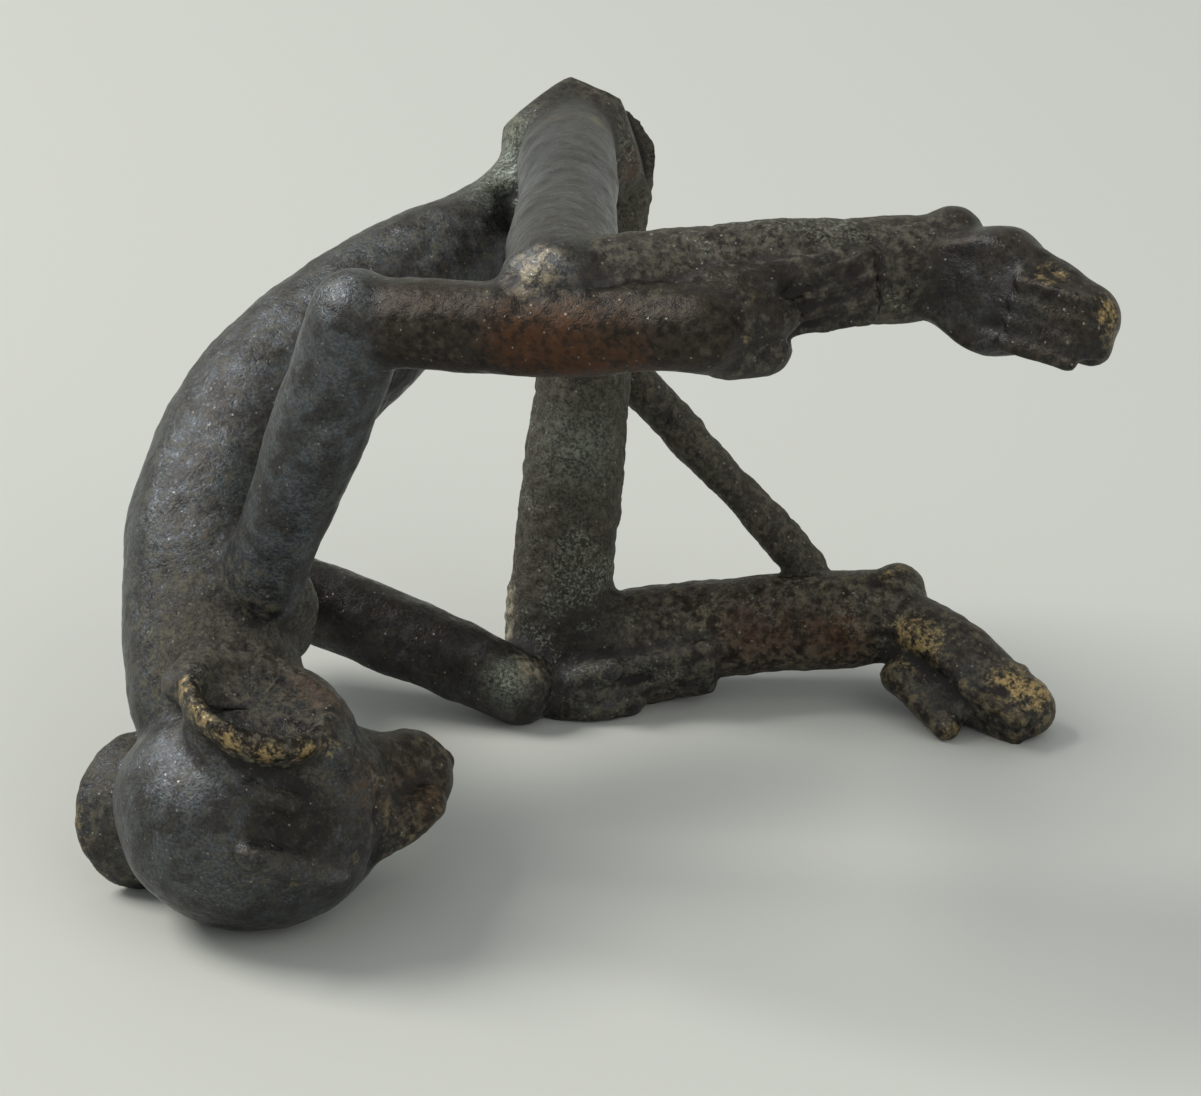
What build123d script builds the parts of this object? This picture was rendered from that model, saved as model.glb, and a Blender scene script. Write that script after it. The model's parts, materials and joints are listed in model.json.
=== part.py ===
from build123d import *
import os
from math import asin, atan2, cos, degrees, radians, sin, sqrt

os.makedirs("parts", exist_ok=True)

# Small cast brass weight in the form of a seated monkey, lying on its side as it rests on a table.
# Each node is one member of the wax model: rods, pellets and cups, luted edge to edge before casting.
# Units are mm. Z = 0 is the table, +X runs from the head towards the feet.
# "near" members are on the upper side of the lying figure, "far" members are on the table side.

# Centres of the joints of the limbs
HIP_NEAR = Vector(0.7, 11.2, 25.0)
KNEE_NEAR = Vector(0.5, -10.1, 26.6)
ANKLE_NEAR = Vector(14.4, -7.8, 26.7)
TOE_NEAR = Vector(20.0, -11.7, 26.1)
HIP_FAR = Vector(2.4, 14.3, 23.2)
KNEE_FAR_X, KNEE_FAR_Y = 0.0, 10.1
ANKLE_FAR = Vector(14.3, 10.1, 3.6)
TOE_FAR_X, TOE_FAR_Y = 20.0, 5.9
SHOULDER_NEAR = Vector(-11.4, -6.5, 12.9)
ELBOW_NEAR = Vector(-7.3, -9.1, 24.9)
SHOULDER_FAR = Vector(-12.0, -1.9, 8.0)
ELBOW_FAR = Vector(-13.6, 10.6, 5.6)
WRIST_FAR_X, WRIST_FAR_Y = -1.5, 7.2

# Arched back, from inside the pelvis to inside the head: centre and radius of each section
BACK_CENTRES = [
    Vector(-0.7, 10.9, 23.0),
    Vector(-3.1, 8.2, 21.7),
    Vector(-6.1, 6.2, 20.2),
    Vector(-9.4, 3.8, 18.4),
    Vector(-13.1, -0.9, 14.2),
    Vector(-13.6, -5.4, 9.9),
    Vector(-12.6, -8.6, 6.6),
]
BACK_RADII = [2.1, 2.25, 2.95, 3.4, 3.6, 3.5, 3.3]

# Radii of the limb rods
THIGH_ROOT_R = 1.95
THIGH_R = 2.05
KNEE_R = 2.25
SHIN_R = 2.1
ANKLE_R = 2.05
UPPER_ARM_R = 1.8
ELBOW_R = 2.0
FOREARM_R = 1.8
WRIST_R = 1.65
LIMB_INSET = 0.12

# Pelvis and shoulder yoke, barrels that run from side to side
PELVIS_CENTRE = Vector(0.85, 12.7, 24.1)
PELVIS_HALF_WIDTH = 3.9
PELVIS_R = 2.9
YOKE_HALF_WIDTH = 4.4
YOKE_R = 2.3

# Tail, a thin thread that bends round the far thigh and ends on the far heel
TAIL_ROOT = Vector(-1.2, 13.0, 21.2)
TAIL_BEND = Vector(1.0, 16.6, 14.8)
TAIL_SHIN_SHARE = 0.77
TAIL_ROOT_R = 0.95
TAIL_MIDDLE_R = 0.88
TAIL_TIP_R = 0.8
TAIL_LEAN = Vector(0, 1.5, 1.9)

# Head, lying on its crown, with its muzzle turned away from the near side
HEAD_X, HEAD_Y = -11.8, -10.4
HEAD_HALF_LENGTH = 5.5
HEAD_R = 4.85
MUZZLE_DIRECTION = Vector(0.80, 0.57, -0.10)
MUZZLE_REACH = 9.2
MUZZLE_ROOT_R = 2.9
MUZZLE_MIDDLE_R = 2.8
MUZZLE_TIP_R = 1.95
MUZZLE_START = 2.0
NOSE_R = 0.6
NOSE_OUT = 1.7
NOSE_UP = 0.35

# Eye hollow in the near temple, with the wax thread that edges it
HOLLOW_DIRECTION = Vector(0.36, -0.87, 0.34)
HOLLOW_R = 3.4
HOLLOW_DEPTH = 1.0
BROW_R = 0.5
BROW_LIFT = 0.15
BROW_DIRECTIONS = [Vector(0.04, -1.0, 0.1), Vector(0.66, -0.74, -0.23)]

# Ears, thick walled cups
EAR_R = 3.2
EAR_WALL = 0.85
EAR_DEPTH = 2.3
EAR_NEAR_DIRECTION = Vector(0.08, -0.25, 0.97)
EAR_NEAR_LIFT = 0.42
EAR_NEAR_FACING = Vector(0.30, -0.10, 0.95)
EAR_FAR_DIRECTION = Vector(-0.71, 0.62, -0.33)
EAR_FAR_LIFT = 0.62
EAR_FAR_FACING = Vector(-0.49, 0.80, -0.32).normalized()

# Hands, each an oval palm pellet with four finger threads and a thumb, laid against a shin
PALM_R = 1.65
PALM_HALF_LENGTH = 2.7
PALM_LIFT = 0.35
FINGER_COUNT = 4
FINGER_R = 0.45
FINGER_LENGTH = 4.0
FINGER_TURN = 12.0
FINGER_STEP_ANGLE = 19.0
FINGER_START = 1.1
FINGER_SINK = 0.12
FINGER_TAPER = 0.9
THUMB_R = 0.65
THUMB_LENGTH = 2.0
THUMB_START = -0.9
HAND_NEAR_SHARE = 0.45
HAND_NEAR_ANGLE = 96.0
WRIST_NEAR_SHARE = 0.34
WRIST_NEAR_ANGLE = 97.0
HAND_FAR_SHARE = 0.1
HAND_FAR_ANGLE = 125.0
THUMB_SIDES = {"near": 1, "far": -1}

# Feet, leaf shaped, with toe threads at the end; the far foot has a big toe on the table side
FOOT_ROOT_R = 1.75
FOOT_R = {"near": 2.5, "far": 1.9}
FOOT_TIP_R = {"near": 1.6, "far": 1.3}
FOOT_HALF_THICKNESS = 1.35
FOOT_FLATS = {"near": Vector(0, 0.3, 1), "far": Vector(0.3, -0.6, 0.6)}
TOE_COUNT = 4
TOE_R = 0.38
TOE_LENGTH = 2.6
TOE_REACH = 0.6
TOE_PITCH = 0.82
TOE_SHIFT = -0.25
TOE_LIFT = 0.02
TOE_DIP = 0.15
BIG_TOE_R = 0.65
BIG_TOE_START = Vector(15.0, 7.2, 1.8)
BIG_TOE_END = Vector(16.7, 5.4, 0.55)
HEEL_R = 1.4
HEEL_OFFSETS = {"near": Vector(0.95, 0.4, 0.87), "far": Vector(0.5, 0.36, 0.8)}

# Depth to which the table side is worn flat
REST_WEAR = 0.12

# Edge of the blocks that press the feet flat and level the table side, longer than the whole figure
TABLE_CUT_SIZE = 120

# Places that follow from the sizes above
KNEE_FAR = Vector(KNEE_FAR_X, KNEE_FAR_Y, KNEE_R - REST_WEAR)
WRIST_FAR = Vector(WRIST_FAR_X, WRIST_FAR_Y, WRIST_R - REST_WEAR)
TOE_FAR = Vector(TOE_FAR_X, TOE_FAR_Y, FOOT_TIP_R["far"] - REST_WEAR)
HEAD_CENTRE = Vector(HEAD_X, HEAD_Y, HEAD_R - REST_WEAR)


def on_head(direction, lift):
    """Point on the skull's oval in a direction from its middle, lifted off the surface."""
    along = direction.normalized()
    half_sizes = (HEAD_HALF_LENGTH + lift, HEAD_R + lift, HEAD_R + lift)
    return HEAD_CENTRE + Vector(*(share * size for share, size in zip(along, half_sizes)))


EAR_NEAR_CENTRE = on_head(EAR_NEAR_DIRECTION, EAR_NEAR_LIFT)
EAR_FAR_SEAT = on_head(EAR_FAR_DIRECTION, EAR_FAR_LIFT)
EAR_FAR_CENTRE = Vector(EAR_FAR_SEAT.X, EAR_FAR_SEAT.Y, EAR_R * sqrt(1 - EAR_FAR_FACING.Z ** 2) - REST_WEAR)


def lie_along(shape, start, end):
    """Turn a shape drawn along +X from the origin so that it runs from start towards end."""
    direction = (end - start).normalized()
    helper = Vector(0, 0, 1) if abs(direction.Z) < 0.9 else Vector(0, 1, 0)
    normal = direction.cross(helper).normalized()
    return Plane(origin=start, x_dir=direction, z_dir=normal) * shape


def rod(start, end, start_r, middle_r, end_r, round_start=True):
    """Hand rolled rod: a smooth solid of revolution with a ball end, or a flat start."""
    length = (end - start).length
    if round_start:
        start_cap = CenterArc((0, 0), start_r, 180, -90)
        first_x = -start_r
    else:
        start_cap = Line((0, 0), (0, start_r))
        first_x = 0
    side = Spline((0, start_r), (length / 2, middle_r), (length, end_r), tangents=[(1, 0), (1, 0)])
    end_cap = CenterArc((length, 0), end_r, 90, -90)
    axis_line = Line((length + end_r, 0), (first_x, 0))
    outline = make_face([start_cap, side, end_cap, axis_line])
    return lie_along(revolve(outline, axis=Axis.X), start, end)


def egg(centre, direction, half_length, radius):
    """Barrel or egg shape, round about its long axis."""
    if half_length == radius:
        return Pos(centre) * Sphere(radius)
    end_r = radius ** 2 / half_length
    end_x = half_length - end_r
    side_r = (end_x ** 2 + radius ** 2 - end_r ** 2) / (2 * (radius - end_r))
    turn = degrees(atan2(abs(side_r - radius), abs(end_x)))
    arcs = [
        CenterArc((-end_x, 0), end_r, 180, -turn),
        CenterArc((0, radius - side_r), side_r, 180 - turn, 2 * turn - 180),
        CenterArc((end_x, 0), end_r, turn, -turn),
    ]
    axis_line = Line((half_length, 0), (-half_length, 0))
    body = revolve(make_face([*arcs, axis_line]), axis=Axis.X)
    return lie_along(body, centre, centre + direction)


def dish_radius(radius, depth):
    """Radius of the ball whose cap has this mouth radius and depth."""
    return (radius ** 2 + depth ** 2) / (2 * depth)


def dish_ball(centre, facing, radius, depth):
    """Ball that the outside of a dish lies on, used as the dish's seat in its neighbours."""
    ball_r = dish_radius(radius, depth)
    return Pos(centre + facing.normalized() * (ball_r - depth)) * Sphere(ball_r)


def cup(centre, facing, radius, wall, depth):
    """Thick walled dish with a rounded lip; centre is the middle of its mouth."""
    outer_r = dish_radius(radius, depth)
    inner_r = outer_r - wall
    ball_x = outer_r - depth
    outer_turn = degrees(asin(radius / outer_r))
    mouth_out = (0, radius)
    mouth_in = (ball_x - inner_r * cos(radians(outer_turn)), inner_r * sin(radians(outer_turn)))
    outside = CenterArc((ball_x, 0), outer_r, 180, -outer_turn)
    inside = CenterArc((ball_x, 0), inner_r, 180, -outer_turn)
    lip_x = (mouth_out[0] + mouth_in[0]) / 2 + wall / 2 * sin(radians(outer_turn))
    lip_y = (mouth_out[1] + mouth_in[1]) / 2 + wall / 2 * cos(radians(outer_turn))
    lip = ThreePointArc(mouth_out, (lip_x, lip_y), mouth_in)
    floor_line = Line((-depth, 0), (-depth + wall, 0))
    bowl = revolve(make_face([outside, lip, inside, floor_line]), axis=Axis.X)
    return lie_along(bowl, centre, centre + facing)


def side_direction(along, towards):
    """Unit vector square to along, on the side that towards points to."""
    along = along.normalized()
    return (towards - along * towards.dot(along)).normalized()


def cut_by(member, *neighbours):
    """Trim a member so that it meets its neighbours face to face, and keep its main body."""
    for neighbour in neighbours:
        member = member - neighbour
    return main_body(member)


def main_body(shape):
    """Largest solid of a shape."""
    return max(shape.solids(), key=lambda piece: piece.volume)


def cut_row(row, *neighbours):
    """Trim each member of a row by its neighbours and by the one before it."""
    trimmed = []
    for number, member in enumerate(row):
        before = row[number - 1:number]
        trimmed.append(cut_by(member, *neighbours, *before))
    return trimmed


def on_rod(start, end, radius, share, angle):
    """Point at a share of a rod's length, at an angle from straight up round to the near side."""
    along = (end - start).normalized()
    up = side_direction(along, Vector(0, 0, 1))
    near = side_direction(along, Vector(0, -1, 0))
    return start + (end - start) * share + (up * cos(radians(angle)) + near * sin(radians(angle))) * radius


def make_back():
    sections = []
    last = len(BACK_CENTRES) - 1
    for number, (centre, radius) in enumerate(zip(BACK_CENTRES, BACK_RADII)):
        tangent = BACK_CENTRES[min(number + 1, last)] - BACK_CENTRES[max(number - 1, 0)]
        sections.append(Plane(origin=centre, z_dir=tangent) * Circle(radius))
    return loft(sections)


def foot_axes(ankle, toe, flat_towards):
    """Unit vectors along a foot, across it, and out of its upper face."""
    along = (toe - ankle).normalized()
    across = side_direction(along, flat_towards)
    top = along.cross(across)
    return along, across, top if top.Y < 0 else top * -1


def make_foot(ankle, toe, flat_towards, middle_r, tip_r):
    """Leaf shaped foot: a swelling rod pressed flat above and below."""
    along, across, top = foot_axes(ankle, toe, flat_towards)
    foot = rod(ankle, toe, FOOT_ROOT_R, middle_r, tip_r)
    block = Box(TABLE_CUT_SIZE, TABLE_CUT_SIZE, TABLE_CUT_SIZE)
    for side in (1, -1):
        seat = ankle + top * side * (FOOT_HALF_THICKNESS + TABLE_CUT_SIZE / 2)
        foot = foot - Plane(origin=seat, x_dir=along, z_dir=top) * block
    return main_body(foot)


def make_toes(ankle, toe, flat_towards):
    """Row of toe threads half sunk in the upper face of the foot's end, from one edge to the other."""
    along, across, top = foot_axes(ankle, toe, flat_towards)
    toes = []
    for number in range(TOE_COUNT):
        shift = across * (TOE_SHIFT + (number - (TOE_COUNT - 1) / 2) * TOE_PITCH)
        start = toe + shift - along * (TOE_LENGTH - TOE_REACH) + top * (FOOT_HALF_THICKNESS + TOE_LIFT)
        end = toe + shift + along * TOE_REACH + top * (FOOT_HALF_THICKNESS - TOE_DIP)
        toes.append(rod(start, end, TOE_R, TOE_R, TOE_R * FINGER_TAPER))
    return toes


def make_hand(shin_start, shin_end, share, middle_angle, thumb_side):
    """Palm pellet, finger threads and thumb that lie against a shin."""
    length = (shin_end - shin_start).length
    along = (shin_end - shin_start).normalized()
    palm_centre = on_rod(shin_start, shin_end, SHIN_R + PALM_LIFT, share, middle_angle)
    across = along.cross(side_direction(along, palm_centre - shin_start))
    palm = egg(palm_centre, along, PALM_HALF_LENGTH, PALM_R)
    first = share + FINGER_START / length
    reach = FINGER_LENGTH / length
    fingers = []
    for number in range(FINGER_COUNT):
        angle = middle_angle + (number - (FINGER_COUNT - 1) / 2) * FINGER_STEP_ANGLE
        ring_r = SHIN_R + FINGER_R - FINGER_SINK
        start = on_rod(shin_start, shin_end, ring_r, first, angle)
        end = on_rod(shin_start, shin_end, ring_r, first + reach, angle - FINGER_TURN)
        fingers.append(rod(start, end, FINGER_R, FINGER_R, FINGER_R * FINGER_TAPER))
    thumb_start = palm_centre + along * THUMB_START + across * thumb_side * (PALM_R - THUMB_R)
    thumb_end = thumb_start + along * THUMB_LENGTH + across * thumb_side * THUMB_R
    thumb = rod(thumb_start, thumb_end, THUMB_R, THUMB_R, THUMB_R * FINGER_TAPER)
    return palm, fingers, thumb


# Trunk, with the back trimmed by the barrels at its ends
pelvis = egg(PELVIS_CENTRE, HIP_NEAR - HIP_FAR, PELVIS_HALF_WIDTH, PELVIS_R)
skull = egg(HEAD_CENTRE, Vector(1, 0, 0), HEAD_HALF_LENGTH, HEAD_R)
yoke_middle = (SHOULDER_NEAR + SHOULDER_FAR) * 0.5
yoke = cut_by(egg(yoke_middle, SHOULDER_NEAR - SHOULDER_FAR, YOKE_HALF_WIDTH, YOKE_R), skull)
ear_seats = [dish_ball(EAR_NEAR_CENTRE, EAR_NEAR_FACING, EAR_R, EAR_DEPTH),
             dish_ball(EAR_FAR_CENTRE, EAR_FAR_FACING, EAR_R, EAR_DEPTH)]
back_full = make_back()
back = cut_by(back_full, pelvis, yoke, skull, *ear_seats)

# Head with its eye hollow, muzzle, nose and ears
hollow_centre = HEAD_CENTRE + HOLLOW_DIRECTION.normalized() * (HEAD_R + HOLLOW_R - HOLLOW_DEPTH)
muzzle_line = MUZZLE_DIRECTION.normalized()
muzzle_tip = HEAD_CENTRE + muzzle_line * (MUZZLE_REACH - MUZZLE_TIP_R)
muzzle_full = rod(HEAD_CENTRE + muzzle_line * MUZZLE_START, muzzle_tip, MUZZLE_ROOT_R, MUZZLE_MIDDLE_R,
                  MUZZLE_TIP_R, round_start=False)
head = cut_by(skull, Pos(hollow_centre) * Sphere(HOLLOW_R), *ear_seats)
muzzle = cut_by(muzzle_full, skull)
brow_start, brow_end = [on_head(direction, BROW_LIFT) for direction in BROW_DIRECTIONS]
brow_ridge = cut_by(rod(brow_start, brow_end, BROW_R, BROW_R, BROW_R), head)
nose = cut_by(Pos(muzzle_tip + muzzle_line * NOSE_OUT + Vector(0, 0, NOSE_UP)) * Sphere(NOSE_R), muzzle)
ear_near = cup(EAR_NEAR_CENTRE, EAR_NEAR_FACING, EAR_R, EAR_WALL, EAR_DEPTH)
ear_far = cup(EAR_FAR_CENTRE, EAR_FAR_FACING, EAR_R, EAR_WALL, EAR_DEPTH)

# Legs, feet and tail
members = {}
hips = {"near": HIP_NEAR, "far": HIP_FAR}
knees = {"near": KNEE_NEAR, "far": KNEE_FAR}
ankles = {"near": ANKLE_NEAR, "far": ANKLE_FAR}
toe_tips = {"near": TOE_NEAR, "far": TOE_FAR}
for side in ("near", "far"):
    thigh_full = rod(hips[side], knees[side], THIGH_ROOT_R, THIGH_R, KNEE_R)
    thigh = cut_by(thigh_full, pelvis, back)
    shin_full = rod(knees[side], ankles[side], SHIN_R - LIMB_INSET, SHIN_R, ANKLE_R, round_start=False)
    shin = cut_by(shin_full, thigh)
    heel = cut_by(Pos(ankles[side] + HEEL_OFFSETS[side]) * Sphere(HEEL_R), shin)
    foot_full = make_foot(ankles[side], toe_tips[side], FOOT_FLATS[side], FOOT_R[side], FOOT_TIP_R[side])
    foot = cut_by(foot_full, shin, heel)
    toes = cut_row(make_toes(ankles[side], toe_tips[side], FOOT_FLATS[side]), foot)
    members.update({f"thigh_{side}": thigh, f"shin_{side}": shin, f"heel_{side}": heel, f"foot_{side}": foot})
    members.update({f"toe_{side}_{number + 1}": toe for number, toe in enumerate(toes)})

big_toe_full = rod(BIG_TOE_START, BIG_TOE_END, BIG_TOE_R, BIG_TOE_R, BIG_TOE_R)
members["big_toe_far"] = cut_by(big_toe_full, members["foot_far"], members["shin_far"])

tail_end = KNEE_FAR + (ANKLE_FAR - KNEE_FAR) * TAIL_SHIN_SHARE + TAIL_LEAN
tail_root_full = rod(TAIL_ROOT, TAIL_BEND, TAIL_ROOT_R, TAIL_ROOT_R, TAIL_ROOT_R)
tail_root = cut_by(tail_root_full, pelvis, members["thigh_far"])
tail_full = rod(TAIL_BEND, tail_end, TAIL_ROOT_R - LIMB_INSET, TAIL_MIDDLE_R, TAIL_TIP_R, round_start=False)
tail = cut_by(tail_full, tail_root, members["shin_far"])

# Arms and hands
shoulders = {"near": SHOULDER_NEAR, "far": SHOULDER_FAR}
elbows = {"near": ELBOW_NEAR, "far": ELBOW_FAR}
hand_shares = {"near": HAND_NEAR_SHARE, "far": HAND_FAR_SHARE}
hand_angles = {"near": HAND_NEAR_ANGLE, "far": HAND_FAR_ANGLE}
wrist_near = on_rod(KNEE_NEAR, ANKLE_NEAR, SHIN_R + WRIST_R, WRIST_NEAR_SHARE, WRIST_NEAR_ANGLE)
wrists = {"near": wrist_near, "far": WRIST_FAR}
for side in ("near", "far"):
    upper_full = rod(shoulders[side], elbows[side], UPPER_ARM_R, UPPER_ARM_R, ELBOW_R)
    upper_arm = cut_by(upper_full, yoke, back, head)
    fore_full = rod(elbows[side], wrists[side], FOREARM_R - LIMB_INSET, FOREARM_R, WRIST_R, round_start=False)
    shin = members[f"shin_{side}"]
    thigh = members[f"thigh_{side}"]
    forearm = cut_by(fore_full, upper_arm, thigh, shin)
    palm_full, finger_list, thumb_full = make_hand(
        knees[side], ankles[side], hand_shares[side], hand_angles[side], THUMB_SIDES[side])
    palm = cut_by(palm_full, forearm, shin, thigh)
    fingers = cut_row(finger_list, palm, shin, thigh)
    thumb = cut_by(thumb_full, palm, forearm, shin, thigh, *fingers)
    members.update({
        f"upper_arm_{side}": upper_arm,
        f"forearm_{side}": forearm,
        f"palm_{side}": palm,
        f"thumb_{side}": thumb,
    })
    members.update({f"finger_{side}_{number + 1}": finger for number, finger in enumerate(fingers)})

members.update({
    "back": back,
    "pelvis": pelvis,
    "shoulder_yoke": yoke,
    "head": head,
    "muzzle": muzzle,
    "nose": nose,
    "brow_ridge": brow_ridge,
    "ear_near": ear_near,
    "ear_far": ear_far,
    "tail_root": tail_root,
    "tail": tail,
})

# Wear the table side flat, then centre the footprint on the origin
below_table = Pos(0, 0, -TABLE_CUT_SIZE / 2) * Box(TABLE_CUT_SIZE, TABLE_CUT_SIZE, TABLE_CUT_SIZE)
worn = {name: cut_by(member, below_table) for name, member in members.items()}
boxes = [shape.bounding_box() for shape in worn.values()]
middle_x = (min(box.min.X for box in boxes) + max(box.max.X for box in boxes)) / 2
middle_y = (min(box.min.Y for box in boxes) + max(box.max.Y for box in boxes)) / 2
to_origin = Pos(-middle_x, -middle_y, 0)
for name, shape in worn.items():
    export_step(to_origin * shape, f"parts/{name}.step")
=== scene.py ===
"""Small cast brass weight: a seated monkey, lying on its side, with the skin of a lost wax casting.

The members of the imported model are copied, luted together with extra wax, pressed and pitted as one
skin, and divided again along the joints, so that each member is its own closed piece.
"""
import json
import math

import bpy
import numpy as np
from bpy.props import FloatProperty, FloatVectorProperty, IntProperty, PointerProperty
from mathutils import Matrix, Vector
from mathutils.bvhtree import BVHTree

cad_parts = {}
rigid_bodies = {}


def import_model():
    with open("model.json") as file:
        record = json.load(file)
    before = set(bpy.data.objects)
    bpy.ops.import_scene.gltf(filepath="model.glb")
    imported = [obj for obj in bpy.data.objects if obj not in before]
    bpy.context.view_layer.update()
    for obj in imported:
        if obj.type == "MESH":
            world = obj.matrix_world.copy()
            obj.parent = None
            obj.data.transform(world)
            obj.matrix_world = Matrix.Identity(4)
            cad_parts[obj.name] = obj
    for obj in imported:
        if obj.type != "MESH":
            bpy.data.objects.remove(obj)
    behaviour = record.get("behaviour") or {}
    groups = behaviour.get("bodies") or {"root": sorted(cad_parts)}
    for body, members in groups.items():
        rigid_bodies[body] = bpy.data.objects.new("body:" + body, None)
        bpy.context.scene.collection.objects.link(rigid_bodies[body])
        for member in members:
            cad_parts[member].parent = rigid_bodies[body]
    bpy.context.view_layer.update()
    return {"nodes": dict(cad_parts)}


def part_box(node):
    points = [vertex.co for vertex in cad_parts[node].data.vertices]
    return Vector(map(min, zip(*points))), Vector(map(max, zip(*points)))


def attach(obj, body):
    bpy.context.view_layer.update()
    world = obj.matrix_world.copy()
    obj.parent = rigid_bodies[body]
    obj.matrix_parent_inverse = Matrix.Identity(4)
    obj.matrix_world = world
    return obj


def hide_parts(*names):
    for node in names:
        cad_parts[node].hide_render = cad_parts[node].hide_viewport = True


bl_info = {
    "name": "Cast Monkey Weight",
    "version": (1, 0, 0),
    "blender": (4, 5, 0),
    "location": "View3D > Sidebar > Weight",
    "description": "Builds the skin, patina and stage of a small cast brass monkey weight",
    "category": "Object",
}

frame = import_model()

MM = 0.001
SIDES = ("near", "far")
TOES = 4
FINGERS = 4

# Skull: the places of all added details are measured from it, in mm
SKULL_LOW, SKULL_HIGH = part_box("head")
SKULL_X = (SKULL_LOW[0] + SKULL_HIGH[0]) / 2 / MM
SKULL_Y = SKULL_HIGH[1] / MM
MEASURED_X, MEASURED_Y = -11.8, -5.55
LOOK_PAST_X, LOOK_PAST_Y = 13.8, 30.55

# Members: the visual pieces, with the nodes that each stands for
MEMBERS = {
    "back": ["back"],
    "pelvis": ["pelvis"],
    "shoulder_yoke": ["shoulder_yoke"],
    "head": ["head", "brow_ridge"],
    "muzzle": ["muzzle", "nose"],
    "ear_near": ["ear_near"],
    "ear_far": ["ear_far"],
    "tail": ["tail_root", "tail"],
}
for side in SIDES:
    MEMBERS[f"upper_arm_{side}"] = [f"upper_arm_{side}"]
    MEMBERS[f"forearm_{side}"] = [f"forearm_{side}"]
    MEMBERS[f"hand_{side}"] = [f"palm_{side}", f"thumb_{side}"]
    MEMBERS[f"hand_{side}"] += [f"finger_{side}_{number + 1}" for number in range(FINGERS)]
    MEMBERS[f"thigh_{side}"] = [f"thigh_{side}"]
    MEMBERS[f"shin_{side}"] = [f"shin_{side}"]
    MEMBERS[f"foot_{side}"] = [f"foot_{side}", f"heel_{side}"]
    MEMBERS[f"foot_{side}"] += [f"toe_{side}_{number + 1}" for number in range(TOES)]
MEMBERS["foot_far"].append("big_toe_far")

# Finish of each member: slot, then how much crust, gold wear and painted blue grey sheen it has; the sheen is a painted
# reflection of the pale daylight
FINISHES = {
    "back": ("dark_brass", 0.22, 0.05, 0.60),
    "pelvis": ("crusted_brass", 0.55, 0.15, 0.20),
    "shoulder_yoke": ("dark_brass", 0.45, 0.15, 0.35),
    "head": ("dark_brass", 0.10, 0.15, 0.75),
    "muzzle": ("worn_brass", 0.30, 0.38, 0.05),
    "ear_near": ("dark_brass", 0.30, 0.05, 0.05),
    "ear_far": ("dark_brass", 0.35, 0.15, 0.45),
    "tail": ("crusted_brass", 0.62, 0.20, 0.25),
    "upper_arm_near": ("dark_brass", 0.10, 0.10, 0.95),
    "upper_arm_far": ("dark_brass", 0.35, 0.05, 0.20),
    "forearm_near": ("dark_brass", 0.05, 0.12, 0.05),
    "forearm_far": ("dark_brass", 0.20, 0.00, 0.30),
    "hand_near": ("dark_brass", 0.25, 0.12, 0.15),
    "hand_far": ("dark_brass", 0.50, 0.05, 0.30),
    "thigh_near": ("crusted_brass", 0.04, 0.05, 0.60),
    "thigh_far": ("crusted_brass", 0.90, 0.15, 0.05),
    "shin_near": ("crusted_brass", 0.50, 0.10, 0.10),
    "shin_far": ("crusted_brass", 0.45, 0.42, 0.00),
    "foot_near": ("worn_brass", 0.12, 0.18, 0.15),
    "foot_far": ("worn_brass", 0.40, 0.35, 0.15),
}
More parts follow.
